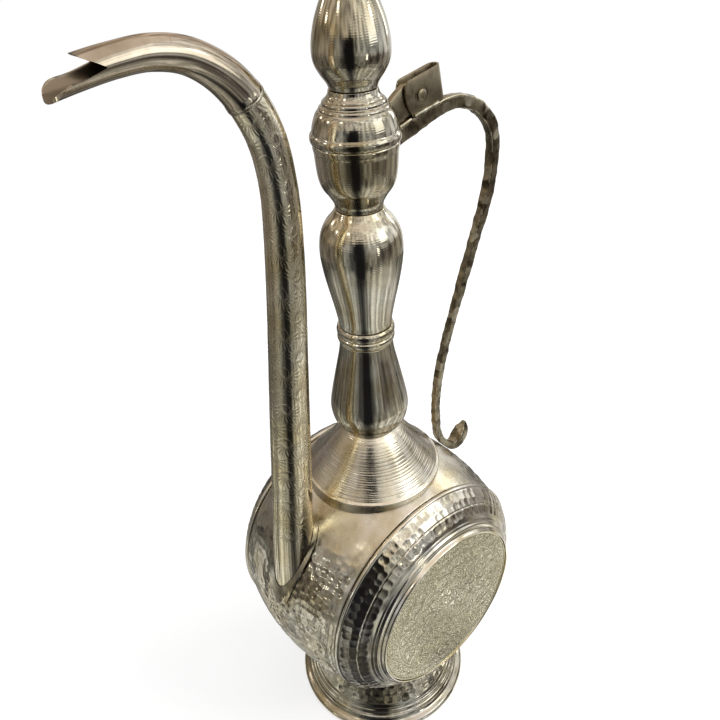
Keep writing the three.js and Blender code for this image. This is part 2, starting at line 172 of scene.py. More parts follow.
def grid_faces(rows, around, closed):
    count = rows if closed else rows - 1
    i, k = np.meshgrid(np.arange(count), np.arange(around), indexing="ij")
    i, k = i.ravel(), k.ravel()
    after = (i + 1) % rows
    beside = (k + 1) % around
    corners = [i * around + k, i * around + beside, after * around + beside, after * around + k]
    return np.stack(corners, axis=1)


def volume(points, faces):
    a, b, c, d = (points[faces[:, k]] for k in range(4))
    return np.einsum("ij,ij->", a, np.cross(b, c)) + np.einsum("ij,ij->", a, np.cross(c, d))


def facing_sign(grid, closed):
    """1 where a grid's own normals point out of the piece, and -1 where they point in."""
    faces = grid_faces(*grid.shape[:2], closed)
    return 1 if volume(grid.reshape(-1, 3), faces) > 0 else -1


def mesh_object(name, points, faces, marks=None):
    mesh = bpy.data.meshes.new(name)
    mesh.from_pydata((points * MM).tolist(), [], faces)
    for mark, values in (marks or {}).items():
        attribute = mesh.attributes.new(mark, "FLOAT", "POINT")
        attribute.data.foreach_set("value", np.ascontiguousarray(values, np.float32).ravel())
    made = bpy.data.objects.new(name, mesh)
    bpy.context.scene.collection.objects.link(made)
    return made


def grid_object(name, grid, closed=True, marks=None):
    """One closed mesh from a grid. A grid that isn't closed starts and ends on its axis or gets end caps."""
    faces = grid_faces(*grid.shape[:2], closed)
    if facing_sign(grid, closed) < 0:
        faces = faces[:, ::-1]
    made = mesh_object(name, grid.reshape(-1, 3), faces.tolist(), marks)
    if not closed:
        close_ends(made)
    return made


def close_ends(made):
    """Merges the points on the axis, and fills an open ring at either end."""
    work = bmesh.new()
    work.from_mesh(made.data)
    bmesh.ops.remove_doubles(work, verts=work.verts, dist=1e-7)
    rims = [edge for edge in work.edges if edge.is_boundary]
    if rims:
        bmesh.ops.holes_fill(work, edges=rims, sides=0)
    bmesh.ops.recalc_face_normals(work, faces=work.faces)
    work.to_mesh(made.data)
    work.free()


def turned(name, outline, around):
    """A piece turned about the vertical axis. Its outline starts and ends on the axis."""
    return grid_object(name, upright(np.array(outline, float), around), closed=False)


def prism(name, near, far):
    """A closed piece between two outlines with the same number of points."""
    count = len(near)
    sides = [[i, (i + 1) % count, count + (i + 1) % count, count + i] for i in range(count)]
    faces = [list(range(count))[::-1], list(range(count, 2 * count)), *sides]
    made = mesh_object(name, np.vstack([near, far]), faces)
    close_ends(made)
    return made


def plate(name, outline, half_width):
    """A plate with a side view in X and Z, centred on the middle plane."""
    at = np.array(outline, float)
    near = np.column_stack([at[:, 0], np.full(len(at), -half_width), at[:, 1]])
    return prism(name, near, near + [0, 2 * half_width, 0])


def bake(made):
    """Applies the modifiers."""
    view = bpy.context.evaluated_depsgraph_get()
    done = bpy.data.meshes.new_from_object(made.evaluated_get(view))
    made.modifiers.clear()
    made.data = done


def cut(made, tool, how="DIFFERENCE"):
    """Cuts, joins or intersects a piece with a tool, and removes the tool."""
    modifier = made.modifiers.new("cut", "BOOLEAN")
    modifier.object = tool
    modifier.operation = how
    modifier.solver = "MANIFOLD"
    bake(made)
    bpy.data.objects.remove(tool)


def bevelled(made, width):
    """Breaks the edges of a piece."""
    modifier = made.modifiers.new("edges", "BEVEL")
    modifier.width = width * MM
    modifier.segments = 2
    modifier.limit_method = "ANGLE"
    modifier.angle_limit = math.radians(30)
    bake(made)


def finish(made, material, slot, *nodes, body="vessel", crease=40):
    """Gives a piece its smooth shading, its material and its body, and hides the CAD nodes that it stands
    for.
    """
    made.data.materials.clear()
    made.data.materials.append(material)
    made.data.shade_smooth()
    made.data.set_sharp_from_angle(angle=math.radians(crease))
    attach(made, body)
    if nodes:
        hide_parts(*nodes)


# Relief: hammered hollows and engraved lines

def nearest(points, centres):
    """Each point's distance to the nearest centre, and which one it is."""
    tree = KDTree(len(centres))
    for i, centre in enumerate(centres):
        tree.insert(centre, i)
    tree.balance()
    found = [tree.find(point) for point in points.reshape(-1, 3)]
    distance = np.array([f[2] for f in found]).reshape(points.shape[:-1])
    which = np.array([f[1] for f in found]).reshape(points.shape[:-1])
    return distance, which


def hammered(grid, centres, size, depth, seed):
    """The height of a surface struck with a round hammer, one shallow hollow around each centre, and how
    dusky each hollow is: some are duskier than others."""
    distance, which = nearest(grid, centres)
    rng = np.random.default_rng(seed)
    strength = rng.uniform(0.55, 1.0, len(centres))
    tarnish = rng.uniform(0, 1, len(centres))
    hollow = np.clip(1 - (distance / size) ** 2, 0, 1)
    return -depth * strength[which] * hollow, tarnish[which] * np.clip(hollow * 4, 0, 1)


def blows(rng, row, count, turn_play, place, place_play, point):
    """One row of hammer blows around a turned piece, each a little off its place. Every other row is half a
    step on. point gives the surface's point at an angle and a place across the rows."""
    for k in range(count):
        angle = FULL_TURN * (k + 0.5 * (row % 2) + rng.uniform(-turn_play, turn_play)) / count
        yield point(angle, place + rng.uniform(-place_play, place_play))


def scored(run, places, width, depth):
    """The height of thin grooves at some places along a run."""
    height = np.zeros_like(run)
    for place in places:
        height -= depth * np.exp(-(((run - place) / width) ** 2))
    return height


def wavering(x, y, size, wave):
    """The two coordinates shifted a little, so that drawn lines look cut by hand."""
    k = FULL_TURN / wave
    dx = np.sin(k * y + 1.3) + 0.6 * np.sin(k * 1.7 * x + 0.4 * k * y)
    dy = np.sin(k * 0.9 * x + 2.1) + 0.6 * np.sin(k * 1.5 * y - 0.5 * k * x)
    return x + size * dx, y + size * dy


def scrollwork(offsets, sizes, hands, pitch):
    """Engraved curls that fill the cells around some centres: 1 in a cut, 0 on the land.
    offsets holds each point's place as seen from each centre."""
    best = second = 99.0
    value = 0.0
    for (dx, dy), size, hand in zip(offsets, sizes, hands):
        reach = np.hypot(dx, dy)
        wave = np.cos(FULL_TURN * reach / pitch + hand * np.arctan2(dy, dx))
        share = reach / size
        closer = share < best
        second = np.where(closer, best, np.minimum(second, share))
        value = np.where(closer, wave, value)
        best = np.minimum(best, share)
    lines = np.clip(0.2 + 1.3 * value, 0, 1)
    between = np.clip(1.2 - (second - best) * 5, 0, 1)
    return np.maximum(lines, between)


def sprays(offsets, hands, reach, strokes):
    """Fans of curved graver strokes around some places: 1 in a cut, 0 on the land."""
    cuts = 0
    for (dx, dy), hand in zip(offsets, hands):
        far = np.hypot(dx, dy)
        turn = np.arctan2(dy, dx) * strokes / 2 + hand * far * 0.55
        off_line = np.abs(np.sin(turn)) * far / (strokes / 2)
        stroke = np.clip(1.5 - off_line / 0.26, 0, 1) * np.clip((far - 1.0) / 0.6, 0, 1)
        fan = np.clip((hand * dx + 0.55 * far) / 1.5, 0, 1)
        stroke = stroke * fan * np.clip((reach - far) / 1.2, 0, 1)
        curl = np.clip(1.4 - np.abs(far - 0.45 * reach - 0.9 * np.arctan2(dy, -hand * dx)) / 0.28, 0, 1)
        curl = curl * np.clip((reach - far) / 1.5, 0, 1)
        cuts = np.maximum(cuts, np.maximum(stroke, curl * (1 - fan)))
    return cuts


# Materials

def empty_tree(owner):
    """The nodes of a material or a world, without the ones that it starts with."""
    owner.use_nodes = True
    owner.node_tree.nodes.clear()
    return owner.node_tree


def node(tree, kind, inputs=None, **settings):
    """A new node. Each input is another node's socket or a value."""
    made = tree.nodes.new(kind)
    for key, value in settings.items():
        setattr(made, key, value)
    for key, value in (inputs or {}).items():
        if isinstance(value, bpy.types.NodeSocket):
            tree.links.new(value, made.inputs[key])
        else:
            made.inputs[key].default_value = value
    return made


def srgb(text):
    """A linear colour from a six-digit one."""
    parts = [int(text[i:i + 2], 16) / 255 for i in (0, 2, 4)]
    return (*[p / 12.92 if p <= 0.04045 else ((p + 0.055) / 1.055) ** 2.4 for p in parts], 1)


def math_node(tree, operation, *values):
    return node(tree, "ShaderNodeMath", dict(enumerate(values)), operation=operation).outputs[0]


def vector_node(tree, operation, *values, output="Vector"):
    return node(tree, "ShaderNodeVectorMath", dict(enumerate(values)), operation=operation).outputs[output]


def times(tree, a, b):
    return math_node(tree, "MULTIPLY", a, b)


def noise(tree, place, scale, detail=3.0, rough=0.55):
    return node(tree, "ShaderNodeTexNoise",
                {"Vector": place, "Scale": scale, "Detail": detail, "Roughness": rough}).outputs["Fac"]


def ranged(tree, value, low, high, to_low, to_high):
    return node(tree, "ShaderNodeMapRange", {0: value, 1: low, 2: high, 3: to_low, 4: to_high}).outputs[0]


def blended(tree, share, a, b):
    """Colour a where the share is 0, and colour b where it is 1."""
    return node(tree, "ShaderNodeMix", {0: share, 6: a, 7: b}, data_type="RGBA").outputs[2]


LATHE_PITCH = 0.9
BUMP = 0.02  # height of the finest relief, which is bump alone


def brass(name, light, dusky, rough, lathe=0.0, marks_and_painted_light_colour=None, cut_rough=0.2, grain=0.25, spun=0.0,
          struck_below=0.0, clouds_per_mm=0.045):
    """Brass: two tones in soft clouds, smears in its gloss, fine scratches, lathe lines, and a marked colour
    where the
    cut attribute is set: dark cuts and tarnish on most pieces, painted shade inside the spout's bend and
    painted highlights on the handle. It is glossier below the height struck_below, where one is given."""
    material = bpy.data.materials.new(name)
    tree = empty_tree(material)
    place = node(tree, "ShaderNodeTexCoord").outputs["Object"]
    mm = vector_node(tree, "MULTIPLY", place, (1000, 1000, 1000))
    clouds = ranged(tree, noise(tree, mm, clouds_per_mm, 5.0), 0.36, 0.66, 0, 1)
    specks = ranged(tree, noise(tree, mm, 0.7, 4.0), 0.52, 0.78, 0, 0.5)
    colour = blended(tree, math_node(tree, "MAXIMUM", clouds, specks), srgb(light), srgb(dusky))
    gloss = ranged(tree, noise(tree, mm, 0.16, 5.0), 0.3, 0.7, rough * 0.75, rough * 1.5)
    if marks_and_painted_light_colour:
        # The cut attribute marks engraved cuts and tarnished hollows, and also painted shade inside the
        # spout's bend and painted highlights on the handle
        marks_and_painted_light = node(tree, "ShaderNodeAttribute", attribute_name="cut").outputs["Fac"]
        colour = blended(tree, times(tree, marks_and_painted_light, 0.85), colour, srgb(marks_and_painted_light_colour))
        gloss = math_node(tree, "ADD", gloss, times(tree, marks_and_painted_light, cut_rough))
    z = node(tree, "ShaderNodeSeparateXYZ", {0: mm}).outputs["Z"]
    if struck_below:
        gloss = times(tree, gloss, ranged(tree, z, struck_below - 16, struck_below - 2, 0.4, 1.0))
    scratches = noise(tree, vector_node(tree, "MULTIPLY", mm, (3.0, 3.0, 0.35)), 1.0, 3.0, 0.7)
    height = times(tree, scratches, grain)
    if lathe:
        run = math_node(tree, "ADD", z, times(tree, noise(tree, mm, 0.05), 3.0))
        wave = math_node(tree, "SINE", times(tree, run, FULL_TURN / LATHE_PITCH))
        patchy = ranged(tree, noise(tree, mm, 0.06, 2.0), 0.45, 0.65, 0.1, 1)
        height = math_node(tree, "ADD", height, times(tree, wave, times(tree, patchy, lathe)))
    bump = node(tree, "ShaderNodeBump", {"Height": height, "Strength": 1.0, "Distance": BUMP * MM})
    inputs = {"Base Color": colour, "Roughness": gloss, "Metallic": 1.0, "Normal": bump.outputs[0]}
    if spun:
        inputs["Anisotropic"] = spun
        inputs["Tangent"] = node(tree, "ShaderNodeTangent", direction_type="RADIAL", axis="Z").outputs[0]
    shader = node(tree, "ShaderNodeBsdfPrincipled", inputs)
    node(tree, "ShaderNodeOutputMaterial", {"Surface": shader.outputs[0]})
    return material


POLISHED = brass("polished_brass", "e5e1d2", "beb191", 0.1, lathe=0.6)
# A darker copy of the polished brass for the lid and the finial: painted shade
SHADED_LID_BRASS = brass("shaded_lid_brass", "c8c4b7", "a69a7c", 0.09, lathe=0.45)
# A lighter copy of the brass for the dished faces: painted light, standing for their brighter highlights
LIGHTENED_HAMMERED = brass("lightened_hammered_brass", "fdf9f0", "dbcfb0", 0.12, marks_and_painted_light_colour="b2a893", cut_rough=0.02)
FOOT_BRASS = brass("foot_brass", "d4d0c5", "b5ab8f", 0.12, marks_and_painted_light_colour="8f8674", cut_rough=0.02)
SATIN = brass("satin_brass", "e7e3d7", "c5b795", 0.26, marks_and_painted_light_colour="938974", cut_rough=0.02,
              struck_below=SMOOTH_Z)
# A lighter copy of the brass for the shoulder cone: painted light, standing for its brighter highlights
LIGHTENED_SPUN = brass("lightened_spun_brass", "f0eadc", "d8caa9", 0.18, lathe=0.9, spun=0.6)
ENGRAVED = brass("engraved_brass", "fffae4", "eee5c7", 0.14, marks_and_painted_light_colour="a49b77", cut_rough=0.12)
CHASED = brass("chased_brass", "f9f1dc", "dccda5", 0.12, marks_and_painted_light_colour="c8bda3")
# The bend's brass: its marked colour darkens the inner wall, painted shade inside the bend
BEAK = brass("beak_brass", "c9beac", "a39783", 0.11, marks_and_painted_light_colour="857a69")
# The handle's brass: its lighter marked colour is wear and a painted highlight on the corners, and painted
# glints in some hollows
DARK = brass("dark_brass", "a89d83", "443a2b", 0.16, grain=0.8, marks_and_painted_light_colour="d4ccb4", clouds_per_mm=0.13)
DULL = brass("dull_brass", "aca188", "716753", 0.28, grain=0.8)
SOLDER = brass("solder", "c9c4b4", "8f8872", 0.3, grain=0.8, clouds_per_mm=0.3)


# Flask

BULGE = BODY_R - BARREL_END_R
ARC_R = (BARREL_END_Y**2 + BULGE**2) / (2 * BULGE)


def barrel_r(y):
    return BODY_R - ARC_R + np.sqrt(ARC_R**2 - np.minimum(np.abs(y), BARREL_END_Y) ** 2)


def barrel_run(offset, reach, step):
    y = np.linspace(-reach, reach, max(2, round(2 * reach / step) + 1))
    return np.column_stack([barrel_r(y) + offset, y])


def barrel_tool(offset, reach=BARREL_END_Y):
    """The flask's band as a solid, to cut what stands on it."""
    run = np.vstack([[0, -reach], barrel_run(offset, reach, 2.0), [0, reach]])
    return grid_object("barrel_tool", facing(run, 256), closed=False)


HOLLOW_SPACING = 4.7
NECK_HOLE_R = 11
SPOUT_HOLE_R = 6.2


def flask_band():
    """Rows of hollows all round, shallower towards the back, and fading on the shoulder and at both edges."""
    outer = barrel_run(0, BARREL_END_Y, 0.8)
    inner = barrel_run(-WALL, BARREL_END_Y, 4.0)
    outline = rounded(np.vstack([outer, inner[::-1]]), 0.7)
    grid = facing(outline, 600)

    def on_band(angle, y):
        r = barrel_r(y)
        return r * math.cos(angle), y, BODY_Z + r * math.sin(angle)

    centres = []
    rng = np.random.default_rng(11)
    for row, y in enumerate(np.arange(-36, 37, HOLLOW_SPACING * 0.86)):
        count = round(FULL_TURN * barrel_r(y) / HOLLOW_SPACING)
        centres += blows(rng, row, count, 0.28, y, 1.1, on_band)
    height, dusk = hammered(grid, centres, size=3.0, depth=0.6, seed=12)
    outside = np.arange(len(outline)) < len(outline) - len(inner) - 4
    fade = np.clip((SMOOTH_Z - grid[..., 2]) / 14, 0.1, 1) * outside[:, None]
    fade *= np.clip((16 - grid[..., 1]) / 12, 0.35, 1)
    edge = np.clip((BARREL_END_Y - 2.0 - np.abs(grid[..., 1])) / 2.0, 0, 1)
    made = grid_object("flask_band", raised(grid, height * fade * edge), marks={"cut": dusk * fade * edge})
    cut(made, turned("neck_tool", [[0, 160], [NECK_HOLE_R, 160], [NECK_HOLE_R, 200], [0, 200]], 48))
    line = even(spline(SPOUT_LINE), 4.0)
    bore = np.full((len(line), 2), SPOUT_HOLE_R)
    cut(made, grid_object("spout_tool", swept(line, bore, 48), closed=False))
    finish(made, SATIN, "satin_brass", "body_barrel")


def dish_outline():
    """Bead, slope, moulding, lip and back, and which points the slope has."""
    slope_in = np.array([66.2, -43.4])
    slope_out = np.array([53.9, -55.5])
    crown = 1.3
    t = np.linspace(0, 1, 40)[:, None]
    rise = crown * 4 * t * (1 - t) / math.sqrt(2)
    slope = slope_in + (slope_out - slope_in) * t + rise * np.array([1, -1])
    bead = spline([[65.5, -40.8], [66.7, -41.0], [67.1, -41.9], [66.9, -42.9], [66.2, -43.4]], 4)[:-1]
    mould = np.array([[53.6, -56.0], [52.9, -56.3]])
    hollow = spline([
        [52.6, -56.5], [51.9, -57.5], [50.9, -57.9], [50.2, -58.0], [49.6, -58.6], [49.3, -59.6]], 3)
    lip = np.array([
        [49.1, -60.3], [48.8, -60.6], [DISC_R + GAP, -60.6], [DISC_R + GAP, -58.5], [46.4, -58.5]])
    back = np.array([[46.4, -57.2], [52.6, -54.2], [63.6, -43.6], [64.2, -40.8]])
    return np.vstack([bead, slope, mould, hollow, lip, back]), slice(len(bead), len(bead) + len(slope))


def on_side(grid, side):
    """The front's grid as it is, or turned half round for the back."""
    return grid * [-1, -1, 1] if side == "back" else grid


# Rows of hollows on a dish: each one's place along the slope, and its count
DISH_ROWS = ((3.3, 88), (7.6, 83), (12.2, 77))
DISH_SCORE = 9.9


def dish(side):
    """The dished face: two rows of hollows, a scored line, one more row, and a hollow moulding."""
    outline, struck = dish_outline()
    slope = outline[struck]
    run = lengths(slope)
    grid = facing(outline, 640)

    def on_slope(angle, at):
        r = np.interp(at, run, slope[:, 0])
        return r * math.cos(angle), np.interp(at, run, slope[:, 1]), BODY_Z + r * math.sin(angle)

    rng = np.random.default_rng(21)
    centres = []
    for row, (place, count) in enumerate(DISH_ROWS):
        centres += blows(rng, row, count, 0.16, place, 0.5, on_slope)
    height, dusk = np.zeros((2, *grid.shape[:2]))
    height[struck], dusk[struck] = hammered(grid[struck], centres, size=2.9, depth=0.42, seed=22)
    height[struck] += scored(run, [DISH_SCORE], width=0.35, depth=0.3)[:, None]
    made = grid_object(f"{side}_dish_face", on_side(raised(grid, height), side), marks={"cut": dusk})
    finish(made, LIGHTENED_HAMMERED, "polished_brass", f"{side}_dish")


def ring_places(count, radius, half_step):
    return [(radius * math.cos(a), radius * math.sin(a)) for a in turns(count, 0.5 * half_step)]


# Rings of curls on a disc: count, radius, 1 where moved on by half a step, size of a curl, and hand
DISC_RINGS = (
    (1, 0, 0, 3.6, 0), (6, 9.4, 0, 3.6, 1), (12, 17.4, 1, 3.2, -1), (14, 25.6, 0, 4.4, 1),
    (24, 34.2, 1, 3.4, -1))
BORDER_R = 38.7
BORDER_END_R = 46.7
BORDER_ROWS = (41.2, 44.9)
BORDER_COUNT = 60
DISC_LINES = (38.2, 39.2, 47.0)
ENGRAVED_DEPTH = 0.24


def disc_pattern(x, z):
    """Curls in rings around a rosette, then a double line, and a border of small curls like leaves."""
    pitch = 1.3
    field_x, field_z = wavering(x, z, 0.8, 8.0)
    offsets, sizes, hands = [], [], []
    for count, radius, half_step, size, hand in DISC_RINGS:
        for k, (px, pz) in enumerate(ring_places(count, radius, half_step)):
            offsets.append((field_x - px, field_z - pz))
            sizes.append(size)
            hands.append(hand if k % 2 else -hand)
    field = scrollwork(offsets, sizes, hands, pitch)
    leaf_x, leaf_z = wavering(x, z, 0.3, 4.0)
    offsets, hands = [], []
    for row, radius in enumerate(BORDER_ROWS):
        for k, (px, pz) in enumerate(ring_places(BORDER_COUNT, radius, row)):
            offsets.append((leaf_x - px, leaf_z - pz))
            hands.append(1 if (k + row) % 2 else -1)
    border = scrollwork(offsets, [2.0] * len(offsets), hands, pitch)
    r = np.hypot(x, z)
    circles = sum(np.clip(1.4 - np.abs(r - place) / 0.3, 0, 1) for place in DISC_LINES)
    plain = (np.abs(r - BORDER_R) < 0.7) | (r > BORDER_END_R)
    pattern = np.where(r > BORDER_R, border, field)
    return np.clip(np.where(plain, 0, pattern) + circles, 0, 1)


def disc(side):
    """The engraved disc, a little crowned."""
    crown = 0.9
    r = np.linspace(0, DISC_R - 0.5, 136)
    face = np.column_stack([r, -DISC_Y - crown * (1 - (r / DISC_R) ** 2)])
    rim = np.array([[DISC_R - 0.15, -59.95], [DISC_R, -59.7], [DISC_R, -58.9], [0, -58.9]])
    outline = np.vstack([face, rim])
    grid = facing(outline, 720)
    cuts = disc_pattern(grid[..., 0], grid[..., 2] - BODY_Z)
    cuts[len(face):] = 0
    cuts[0] = cuts[0].mean()
    grid = on_side(raised(grid, -ENGRAVED_DEPTH * cuts, closed=False), side)
    made = grid_object(f"{side}_disc_face", grid, closed=False, marks={"cut": cuts})
    finish(made, ENGRAVED, "engraved_brass", f"{side}_disc", crease=70)


# Foot, shoulder and neck

FOOT_ROWS = (4.0, 8.9, 13.8, 18.7, 23.6)
FOOT_HOLLOW_SPACING = 5.4


def foot():
    """Mouldings at the rim, a scored line, and a dome with five rows of hollows."""
    rim = np.array([[FOOT_R - 0.5, 0], [FOOT_R, 0.8], [FOOT_R - 0.1, 2.2], [52.9, 3.2], [50.8, 3.9]])
    hollow = spline([[50.0, 4.4], [48.9, 5.8], [48.4, 8.2]], 6)
    steps = np.array([[47.6, 8.7], [47.3, 9.3], [47.1, 10.4], [46.2, 11.0], [45.8, 11.6], [45.6, 12.4]])
    dome = even(spline([
        [44.8, 13.0], [44.4, 14.0], [42.4, 20], [38.9, 27.5], [34.8, 34.6], [31.8, 41.5], [30.6, 50]]), 0.8)
    inner = np.array([[52.0, 0], [52.0, 1.6], [44.6, 9.0], [40.6, 20], [32.8, 34.6], [29.6, 42], [29.0, 50]])
    start = rounded(np.vstack([rim, hollow, steps]), 0.5, closed=False)
    grid = upright(np.vstack([start, dome, inner[::-1]]), 420)
    struck = slice(len(start), len(start) + len(dome))
    run = lengths(dome)

    def on_dome(angle, at):
        r = np.interp(at, run, dome[:, 0])
        return r * math.cos(angle), r * math.sin(angle), np.interp(at, run, dome[:, 1])

    rng = np.random.default_rng(31)
    centres = []
    for row, place in enumerate(FOOT_ROWS):
        count = round(FULL_TURN * np.interp(place, run, dome[:, 0]) / FOOT_HOLLOW_SPACING)
        centres += blows(rng, row, count, 0.18, place, 0.5, on_dome)
    height, dusk = np.zeros((2, *grid.shape[:2]))
    height[struck], dusk[struck] = hammered(grid[struck], centres, size=3.3, depth=0.62, seed=32)
    height[struck] *= np.clip((run - 1.4) / 0.6, 0, 1)[:, None]
    height[struck] += scored(run, [0.9], width=0.3, depth=0.18)[:, None]
    made = grid_object("foot_shell", raised(grid, height), marks={"cut": dusk})
    cut(made, barrel_tool(GAP, reach=48))
    finish(made, FOOT_BRASS, "polished_brass", "foot")


def shoulder_cone():
    """A skirt cut to the flask, and a slope with turned lines at uneven steps."""
    skirt = np.array([
        [CONE_R - 0.5, 150], [CONE_R - 0.5, CONE_Z - 0.9], [CONE_R, CONE_Z - 0.5], [CONE_R - 0.1, CONE_Z],
        [36.3, 183.7]])
    slope = even(spline([
        [35.4, 184.0], [30.0, 190.2], [25.3, 196.1], [21.2, 201.6], [17.2, 206.6], [14.3, 209.8]]), 0.3)
    inner = np.array([
        [CONE_R - 2, 150], [CONE_R - 2, 181.6], [33.6, 183.0], [28.4, 189.0], [19.6, 200.4], [12.6, 209.8]])
    start = rounded(skirt, 0.4, closed=False)
    grid = upright(np.vstack([start, slope, inner[::-1]]), 240)
    steps = np.random.default_rng(41).uniform(0.9, 2.4, 22)
    height = np.zeros(grid.shape[:2])
    lines = scored(lengths(slope), np.cumsum(steps), width=0.22, depth=0.05)
    height[len(start):len(start) + len(slope)] = lines[:, None]
    made = grid_object("shoulder_cone_shell", raised(grid, height))
    cut(made, barrel_tool(GAP))
    finish(made, LIGHTENED_SPUN, "polished_brass", "shoulder_cone", crease=50)


def turned_piece(name, node_name, outer, inner, body="vessel", material=POLISHED, slot="polished_brass",
                 around=160):
    """A ring or shell turned about the vertical axis, with its corners broken."""
    outline = rounded(np.vstack([outer, inner[::-1]]))
    finish(grid_object(name, upright(outline, around)), material, slot, node_name, body=body)


def neck_piece(name, node_name, points):
    outer = even(spline(points), 0.9)
    inner = outer + WALL * sideways(outer)
    inner[[0, -1]] = outer[[0, -1]] - [WALL, 0]
    turned_piece(name, node_name, outer, inner)


def neck():
    neck_piece("lower_bulb_shell", "neck_lower_bulb", [
        [13.9, 210.2], [16.4, 212.4], [18.9, 216.6], [20.1, 222.6], [19.8, 227.2], [18.9, 232.4],
        [17.4, 239.6], [15.4, 248.8], [13.8, 256.4], [13.0, 262.6]])
    neck_piece("upper_bulb_shell", "neck_upper_bulb", [
        [12.9, 272.2], [13.2, 275.6], [14.6, 283.4], [16.6, 292.8], [18.3, 302.0], [19.2, 311.0],
        [18.4, 319.0], [15.9, 324.6], [12.6, 328.6], [11.0, 331.2]])
    ring = spline([
        [13.2, 263.0], [13.9, 264.2], [14.1, 265.4], [13.9, 266.4], [13.4, 267.1], [13.9, 267.8],
        [14.2, 269.0], [14.0, 270.6], [13.2, 271.8]], 5)
    turned_piece("neck_ring_shell", "neck_ring", ring, np.array([[11.8, 263.0], [11.8, 271.8]]))
    side = even(spline([
        [10.9, 331.5], [11.1, 334.0], [13.2, 337.8], [15.9, 341.8], [17.3, 347.0], [18.1, 356.8]]), 0.8)
    lip = [[18.3, 357.6], [18.45, 358.4], [18.45, 360.1], [18.1, MOUTH_Z]]
    inner = spline([
        [9.5, 331.5], [9.6, 334.6], [14.3, 342.4], [15.9, 347.6], [16.6, 356.8], [16.8, MOUTH_Z]], 5)
    turned_piece("mouth_cup_shell", "mouth_cup", np.vstack([side, lip]), inner)


# Spout

SPOUT_LINE = [
    [-60.5, 126], [-57.2, 165], [-53.6, 199], [-49.8, 239], [-46.4, 273], [-43.5, 302], [-41.4, 329],
    [-40.8, 350], [-43.2, 369.4], [-49.0, 384.4], [-58.0, 396.6], [-70.3, 405.2], [-83.4, 408.6],
    [-96.4, 408.5], [-108.6, 407.2], [-121.0, 405.3]]
# Share of the way along, and half the tube's size in the plane of the line and across it
SPOUT_SIZE = np.array([
    [0, 10.8, 10.8], [0.14, 10.5, 10.5], [0.28, 9.9, 9.9], [0.46, 8.9, 8.9], [0.55, 8.5, 8.5],
    [0.63, 8.0, 8.0], [0.67, 7.6, 7.6], [0.76, 7.7, 7.7], [0.8, 7.3, 7.3], [0.84, 6.4, 6.4],
    [0.88, 5.9, 5.9], [0.92, 5.5, 6.2], [0.96, 5.5, 7.4], [1, 5.3, 9.4]])
SPOUT_WALL = 1.2
SPOUT_JOINT = 0.772


def spout_rings(step, low=0.0, high=1.0):
    """Points along the middle, the half sizes there, and each one's share of the way along."""
    line = even(spline(SPOUT_LINE), step)
    share = lengths(line) / lengths(line)[-1]
    fine = np.linspace(0, 1, 101)
    kernel = np.array([1, 2, 3, 2, 1]) / 9
    sizes = []
    for column in (1, 2):
        rough = np.interp(fine, SPOUT_SIZE[:, 0], SPOUT_SIZE[:, column])
        soft = np.convolve(np.pad(rough, 2, mode="edge"), kernel, mode="valid")
        sizes.append(np.interp(share, fine, soft))
    inside = (share >= low) & (share <= high)
    return line[inside], np.column_stack(sizes)[inside], share[inside]


def hollow_tube(line, sizes, around, inner_step=1):
    """The wall's two sides. Inside, only one ring in inner_step is kept."""
    inner = swept(line, sizes - SPOUT_WALL, around)[::-1]
    kept = sorted({*range(0, len(line), inner_step), len(line) - 1})
    return np.vstack([swept(line, sizes, around), inner[kept]])


def tube_pattern(run, angle):
    """Fans of strokes in staggered rows of four around the tube, and three wavy stems."""
    mean_r = 9.0
    row_step = 9.6
    offsets = []
    hands = []
    for row in range(int(run.max() / row_step) + 2):
        for k, place in enumerate(turns(4, 0.5 * (row % 2))):
            apart = (angle - place + math.pi) % FULL_TURN - math.pi
            offsets.append((run - row * row_step, mean_r * apart))
            hands.append(1 if (row + k) % 2 else -1)
    cuts = sprays(offsets, hands, 7.0, 18)
    for k, place in enumerate(turns(3, 0.25)):
        turn = angle - place - 0.3 * np.sin(FULL_TURN * run / (2 * row_step) + k)
        apart = mean_r * ((turn + math.pi) % FULL_TURN - math.pi)
        cuts = np.maximum(cuts, np.clip(1.4 - np.abs(apart) / 0.3, 0, 1))
    return cuts


CHASED_FROM_Z = 170
CHASED_DEPTH = 0.1


def spout_tube():
    around = 160
    line, sizes, share = spout_rings(0.5, 0, SPOUT_JOINT)
    grid = hollow_tube(line, sizes, around, inner_step=8)
    run, angle = np.meshgrid(lengths(line), turns(around, 0.5), indexing="ij")
    chased = np.clip((line[:, 1] - CHASED_FROM_Z) / 1.5, 0, 1) * np.clip((SPOUT_JOINT - share) / 0.004, 0, 1)
    cuts = np.zeros(grid.shape[:2])
    cuts[:len(line)] = tube_pattern(run, angle) * chased[:, None]
    made = grid_object("spout_tube_shell", raised(grid, -CHASED_DEPTH * cuts), marks={"cut": cuts})
    cut(made, barrel_tool(GAP))
    finish(made, CHASED, "engraved_brass", "spout_tube", crease=70)


# The beak's cut edges, seen from the side, and its lip, seen from above
UPPER_EDGE = [[-101.0, 408.1], [-104.4, 410.0], [-107.2, 411.3], [-109.0, 412.8], [-110.2, 414.4]]
LOWER_EDGE = [
    [-121.0, 401.6], [-117.6, 403.4], [-114.2, 405.2], [-109.6, 405.9], [-105.4, 406.9], [-101.0, 408.1]]
LIP_START_X = -112.0
LIP_LENGTH = 7.8
LIP_HALF = 9.6


